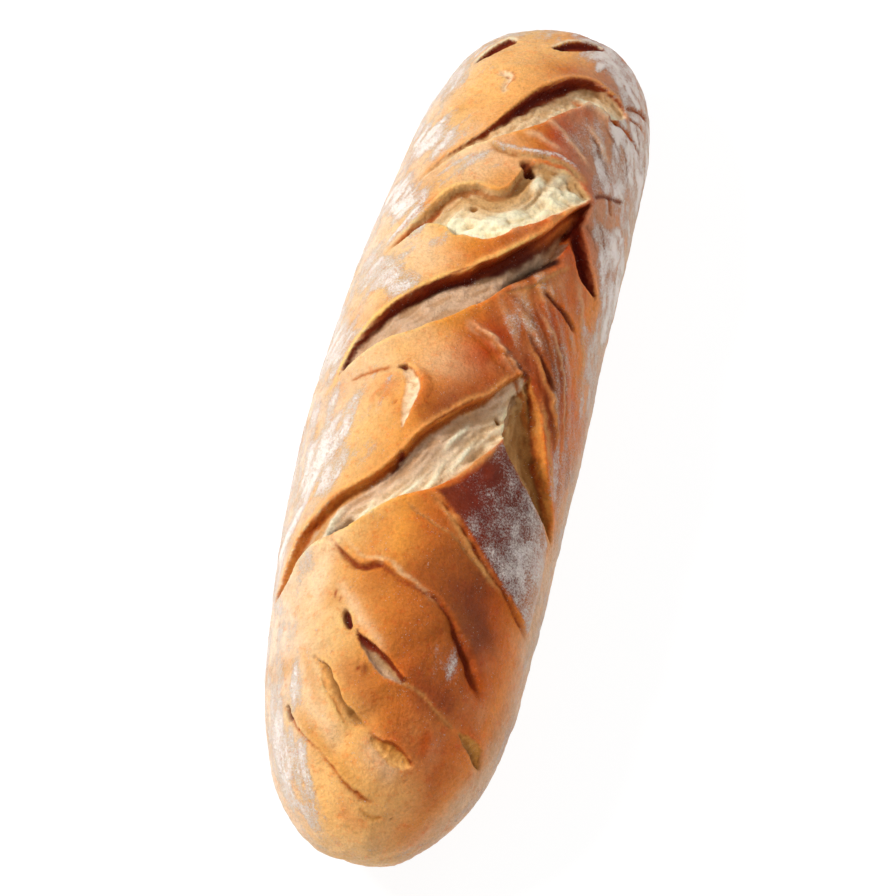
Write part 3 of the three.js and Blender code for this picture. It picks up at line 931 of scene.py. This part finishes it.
def paint_relief_shade_and_highlight():
    """The hollows of the crust get painted shade, darker and redder, and its ridges a painted highlight; both
    tips are pale.
    """
    at_tip = smoothstep(TIP_REACH, 3, skin.to_tip)
    skin.colour[:] = mix(skin.colour, mix(PALE, LIGHT_GOLD, 0.5), at_tip)
    skin.flour[:] = skin.flour + (0.15 - skin.flour) * at_tip
    bend = (blurred(skin.height, 1) - blurred(skin.height, 6)) * (1 - 0.7 * skin.crumb)
    # Painted shade in the hollows: their colour darkened and reddened.
    dark = skin.colour * np.array([0.6, 0.34, 0.16])
    skin.colour[:] = mix(skin.colour, dark, 0.9 * smoothstep(0.04, 0.4, -bend))
    # Painted highlight on the ridges: their colour lightened.
    painted_highlight = np.minimum(skin.colour * np.array([1.25, 1.2, 1.1]), 0.9)
    skin.colour[:] = mix(skin.colour, painted_highlight, smoothstep(0.05, 0.4, bend))


bake_crust()
paint_crust()
dust_far_flank()
swell_blocks()
streak_right_strand()
score_far_end()
score_first()
score_second()
score_third()
open_right_gap()
score_fourth()
raise_plate()
tear_near_end()
mark_middle_block()
crease_far_blocks()
paint_relief_shade_and_highlight()


# ---------------------------------------------------------------------------------------------------
# Mesh


def grid_mesh():
    """The grid as a closed mesh in metres, set into the CAD part's box."""
    points = skin.points()
    rows, columns = skin.along.shape
    station_ends = section(np.array([-1.0, 1.0]))
    tips = [(station_ends[4][i], (-1, 1)[i] * LENGTH / 2, TIP_HEIGHT) for i in (0, 1)]
    points[..., 2] = np.maximum(points[..., 2], 0)
    points = np.vstack([points.reshape(-1, 3), tips])
    index = np.arange(rows * columns).reshape(rows, columns)
    after = np.roll(index, -1, axis=1)
    quads = np.stack([index[:-1], after[:-1], after[1:], index[1:]], axis=-1).reshape(-1, 4)
    near_tip, far_tip = rows * columns, rows * columns + 1
    near_fan = [(near_tip, b, a) for a, b in zip(index[0], after[0])]
    far_fan = [(far_tip, a, b) for a, b in zip(index[-1], after[-1])]
    centre = (points.min(axis=0) + points.max(axis=0)) / 2
    box_centre = (LOW + HIGH) / 2
    points[:, :2] += (box_centre - centre)[:2]
    mesh = bpy.data.meshes.new("grid")
    mesh.from_pydata((points * MM).tolist(), [], quads.tolist() + near_fan + far_fan)
    return mesh, points


def remeshed(mesh):
    """A copy of a mesh with even faces, as an object."""
    source = bpy.data.objects.new("grid", mesh)
    bpy.context.scene.collection.objects.link(source)
    remesh = source.modifiers.new("even_faces", "REMESH")
    remesh.mode = "VOXEL"
    remesh.voxel_size = VOXEL * MM
    remesh.use_smooth_shade = True
    evaluated = source.evaluated_get(bpy.context.evaluated_depsgraph_get())
    result = bpy.data.meshes.new_from_object(evaluated)
    bpy.data.objects.remove(source)
    result.name = "baguette_loaf"
    loaf = bpy.data.objects.new("baguette_loaf", result)
    bpy.context.scene.collection.objects.link(loaf)
    return loaf


def carried_over(loaf, grid_points):
    """Fields of the grid at the remeshed loaf's vertices, as columns, evened out over neighbours."""
    angle = np.radians(skin.around)
    fields = [skin.along, np.cos(angle), np.sin(angle), skin.flour, skin.crumb]
    fields = np.stack([field.ravel() for field in fields] + list(skin.colour.reshape(-1, 3).T), axis=1)
    tree = KDTree(len(fields))
    for number, point in enumerate(grid_points[: len(fields)].tolist()):
        tree.insert(point, number)
    tree.balance()
    count = len(loaf.data.vertices)
    places = np.empty(count * 3)
    loaf.data.vertices.foreach_get("co", places)
    places = places.reshape(-1, 3)
    found = [tree.find(point)[1] for point in (places / MM).tolist()]
    values = fields[found]
    edges = np.empty(len(loaf.data.edges) * 2, int)
    loaf.data.edges.foreach_get("vertices", edges)
    a, b = edges.reshape(-1, 2).T
    degree = np.bincount(a, minlength=count) + np.bincount(b, minlength=count)
    for column in range(values.shape[1]):
        field = values[:, column]
        around = np.bincount(a, field[b], count) + np.bincount(b, field[a], count)
        values[:, column] = 0.5 * field + 0.5 * around / np.maximum(degree, 1)
    return places, values


def add_texture(loaf, places, values):
    """Small relief: wrinkled crust, open crumb and the grain of flour."""
    crust_noise, crumb_noise, pore_noise = Noise(21), Noise(22), Noise(23)
    normals = np.empty(len(places) * 3)
    loaf.data.vertex_normals.foreach_get("vector", normals)
    normals = normals.reshape(-1, 3)
    spots = places / MM
    crumb = values[:, 4]
    crust_relief = 0.2 * crust_noise(spots, 4.5) + 0.08 * crust_noise(spots, 1.3, 2)
    crumb_relief = 0.34 * crumb_noise(spots, 4) + 0.1 * pore_noise(spots, 1.4, 2)
    relief = crust_relief * (1 - crumb) + crumb_relief * crumb
    relief *= smoothstep(0.2, 2.5, spots[:, 2])
    places = places + normals * (relief * MM)[:, None]
    places[:, 2] = np.maximum(places[:, 2], 0)
    loaf.data.vertices.foreach_set("co", places.ravel())
    loaf.data.update()


def add_attributes(loaf, values):
    mesh = loaf.data
    colour = mesh.color_attributes.new("crust_colour", "FLOAT_COLOR", "POINT")
    colour.data.foreach_set("color", np.hstack([values[:, 5:8], np.ones((len(values), 1))]).ravel())
    masks = mesh.color_attributes.new("masks", "FLOAT_COLOR", "POINT")
    rest = np.stack([values[:, 3], values[:, 4], np.zeros(len(values)), np.ones(len(values))], axis=1)
    masks.data.foreach_set("color", rest.ravel())
    corners = np.empty(len(mesh.loops), int)
    mesh.loops.foreach_get("vertex_index", corners)
    around = np.degrees(np.arctan2(values[:, 2], values[:, 1]))[corners]
    starts = np.empty(len(mesh.polygons), int)
    mesh.polygons.foreach_get("loop_start", starts)
    totals = np.empty(len(mesh.polygons), int)
    mesh.polygons.foreach_get("loop_total", totals)
    first = np.repeat(around[starts], totals)
    ahead = around - first
    around = np.where(ahead > 180, around - 360, np.where(ahead < -180, around + 360, around))
    across = (around + 190) / 380
    up = (values[corners, 0] - DISTANCES[0]) / (DISTANCES[-1] - DISTANCES[0])
    layer = mesh.uv_layers.new(name="OFBake")
    layer.data.foreach_set("uv", np.clip(np.stack([across, up], axis=1), 0, 1).ravel())


mesh, grid_points = grid_mesh()
loaf = remeshed(mesh)
places, values = carried_over(loaf, grid_points)
add_texture(loaf, places, values)
add_attributes(loaf, values)
bpy.data.meshes.remove(mesh)


# ---------------------------------------------------------------------------------------------------
# Material


def bread_material():
    material = bpy.data.materials.new("baked_crust_and_crumb")
    material.use_nodes = True
    nodes, links = material.node_tree.nodes, material.node_tree.links
    nodes.clear()

    def add(kind, **settings):
        node = nodes.new(kind)
        for name, value in settings.items():
            setattr(node, name, value)
        return node

    def wire(source, target):
        links.new(source, target)

    def texture(size_mm, detail=3, roughness=0.55):
        node = add("ShaderNodeTexNoise")
        node.inputs["Scale"].default_value = 1 / (size_mm * MM)
        node.inputs["Detail"].default_value = detail
        node.inputs["Roughness"].default_value = roughness
        wire(place.outputs["Object"], node.inputs["Vector"])
        return node.outputs["Fac"]

    def ramp(source, low, high, to_low=0.0, to_high=1.0):
        node = add("ShaderNodeMapRange", interpolation_type="SMOOTHSTEP")
        node.inputs["From Min"].default_value = low
        node.inputs["From Max"].default_value = high
        node.inputs["To Min"].default_value = to_low
        node.inputs["To Max"].default_value = to_high
        wire(source, node.inputs["Value"])
        return node.outputs["Result"]

    def maths(operation, *inputs):
        node = add("ShaderNodeMath", operation=operation)
        for socket, value in zip(node.inputs, inputs):
            if isinstance(value, (int, float)):
                socket.default_value = value
            else:
                wire(value, socket)
        return node.outputs[0]

    def blend(first, second, factor, mode="MIX"):
        node = add("ShaderNodeMix", data_type="RGBA", blend_type=mode)
        for name, value in (("Factor", factor), ("A", first), ("B", second)):
            socket = next(s for s in node.inputs if s.name == name and s.enabled)
            if isinstance(value, (int, float)):
                socket.default_value = value
            elif isinstance(value, np.ndarray):
                socket.default_value = (*value, 1)
            else:
                wire(value, socket)
        return next(s for s in node.outputs if s.enabled)

    place = add("ShaderNodeTexCoord")
    colour = add("ShaderNodeAttribute", attribute_name="crust_colour").outputs["Color"]
    masks = add("ShaderNodeSeparateColor")
    wire(add("ShaderNodeAttribute", attribute_name="masks").outputs["Color"], masks.inputs["Color"])
    flour, crumb = masks.outputs["Red"], masks.outputs["Green"]

    mottle = ramp(texture(6, 6, 0.65), 0.3, 0.7, 0.95, 1.08)
    grain = ramp(texture(0.9, 4, 0.7), 0.3, 0.7, 0.9, 1.12)
    varied = blend(colour, maths("MULTIPLY", mottle, grain), 1.0, "MULTIPLY")
    freckles = maths("MULTIPLY", ramp(texture(2.6, 5, 0.7), 0.5, 0.7, 0, 0.5), ramp(crumb, 0.5, 0.0))
    varied = blend(varied, srgb(250, 186, 130), freckles, "MULTIPLY")
    cloud = maths("SUBTRACT", texture(3.5, 5, 0.65), 0.5)
    grains = maths("SUBTRACT", texture(0.6, 4, 0.8), 0.5)
    cover = maths("ADD", maths("MULTIPLY", cloud, 1.1), maths("MULTIPLY", grains, 2.6))
    cover = maths("ADD", maths("MULTIPLY", flour, 1.3), cover)
    dust = maths("MULTIPLY", ramp(cover, 0.18, 1.2), ramp(flour, 0.0, 0.2, 0.01, 0.95))
    # Sparse white specks of flour over the crust, partly standing in for small glints: painted highlight.
    specks = ramp(texture(0.55, 2, 0.6), 0.64, 0.72)
    flour_specks_and_glints = maths("MULTIPLY", specks, ramp(texture(7, 4, 0.7), 0.46, 0.6, 0, 0.6))
    powdered = blend(varied, FLOUR, maths("MAXIMUM", dust, flour_specks_and_glints))

    shader = add("ShaderNodeBsdfPrincipled")
    wire(powdered, shader.inputs["Base Color"])
    rough = maths("ADD", ramp(texture(3, 3), 0.3, 0.7, 0.27, 0.42), maths("MULTIPLY", dust, 0.35))
    wire(maths("ADD", rough, maths("MULTIPLY", crumb, 0.25)), shader.inputs["Roughness"])
    shader.inputs["Subsurface Weight"].default_value = 0.08
    shader.inputs["Subsurface Radius"].default_value = (1.0, 0.5, 0.2)
    shader.inputs["Subsurface Scale"].default_value = 2.5 * MM
    shader.inputs["Specular IOR Level"].default_value = 0.14

    bump = add("ShaderNodeBump")
    bump.inputs["Strength"].default_value = 1.0
    bump.inputs["Distance"].default_value = 0.6 * MM
    relief = maths("ADD", maths("MULTIPLY", texture(3.2, 4, 0.6), 1.4), texture(1.0, 5, 0.75))
    relief = maths("ADD", relief, maths("MULTIPLY", maths("MAXIMUM", dust, flour_specks_and_glints), 0.5))
    wire(relief, bump.inputs["Height"])
    wire(bump.outputs["Normal"], shader.inputs["Normal"])
    output = add("ShaderNodeOutputMaterial")
    wire(shader.outputs["BSDF"], output.inputs["Surface"])
    return material


loaf.data.materials.append(bread_material())
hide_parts("loaf")
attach(loaf, "root")


# ---------------------------------------------------------------------------------------------------
# Camera, light and floor

CAMERA_AZIMUTH = 13
CAMERA_ELEVATION = 60
CAMERA_DISTANCE = 903
CAMERA_LENS = 120
CAMERA_TARGET = (2.2, -12.8, 29.7)


def from_target(azimuth, elevation, distance):
    """A point seen at an angle from the camera's target, in metres."""
    a, e = math.radians(azimuth), math.radians(elevation)
    way = Vector((math.sin(a) * math.cos(e), -math.cos(a) * math.cos(e), math.sin(e)))
    return (Vector(CAMERA_TARGET) + way * distance) * MM


def aim(item):
    way = Vector(CAMERA_TARGET) * MM - item.location
    item.rotation_euler = way.to_track_quat("-Z", "Y").to_euler()


def add_camera():
    camera = bpy.data.objects.new("camera", bpy.data.cameras.new("camera"))
    camera.data.lens = CAMERA_LENS
    camera.data.clip_start = 0.05
    camera.location = from_target(CAMERA_AZIMUTH, CAMERA_ELEVATION, CAMERA_DISTANCE)
    aim(camera)
    bpy.context.scene.collection.objects.link(camera)
    bpy.context.scene.camera = camera


def add_light(name, azimuth, elevation, distance, size, watts):
    light = bpy.data.lights.new(name, "AREA")
    light.shape = "DISK"
    light.size = size * MM
    light.energy = watts
    item = bpy.data.objects.new(name, light)
    item.location = from_target(azimuth, elevation, distance)
    aim(item)
    bpy.context.scene.collection.objects.link(item)


def add_world(strength):
    world = bpy.data.worlds.new("studio")
    world.use_nodes = True
    background = world.node_tree.nodes["Background"]
    background.inputs["Color"].default_value = (1, 1, 1, 1)
    background.inputs["Strength"].default_value = strength
    bpy.context.scene.world = world


def add_floor(side=6.0):
    half = side / 2
    mesh = bpy.data.meshes.new("floor")
    corners = [(-half, -half, 0), (half, -half, 0), (half, half, 0), (-half, half, 0)]
    mesh.from_pydata(corners, [], [(0, 1, 2, 3)])
    floor = bpy.data.objects.new("floor", mesh)
    material = bpy.data.materials.new("floor")
    material.use_nodes = True
    shader = material.node_tree.nodes["Principled BSDF"]
    shader.inputs["Base Color"].default_value = (0.16, 0.16, 0.16, 1)
    shader.inputs["Roughness"].default_value = 0.9
    shader.inputs["Emission Color"].default_value = (1, 1, 1, 1)
    shader.inputs["Emission Strength"].default_value = 0.9
    mesh.materials.append(material)
    bpy.context.scene.collection.objects.link(floor)


add_camera()
add_light("key", azimuth=-84, elevation=45, distance=900, size=200, watts=7.0)
add_light("rim", azimuth=150, elevation=35, distance=900, size=500, watts=0.9)
add_world(0.48)
add_floor()
bpy.context.scene.view_settings.view_transform = "Standard"
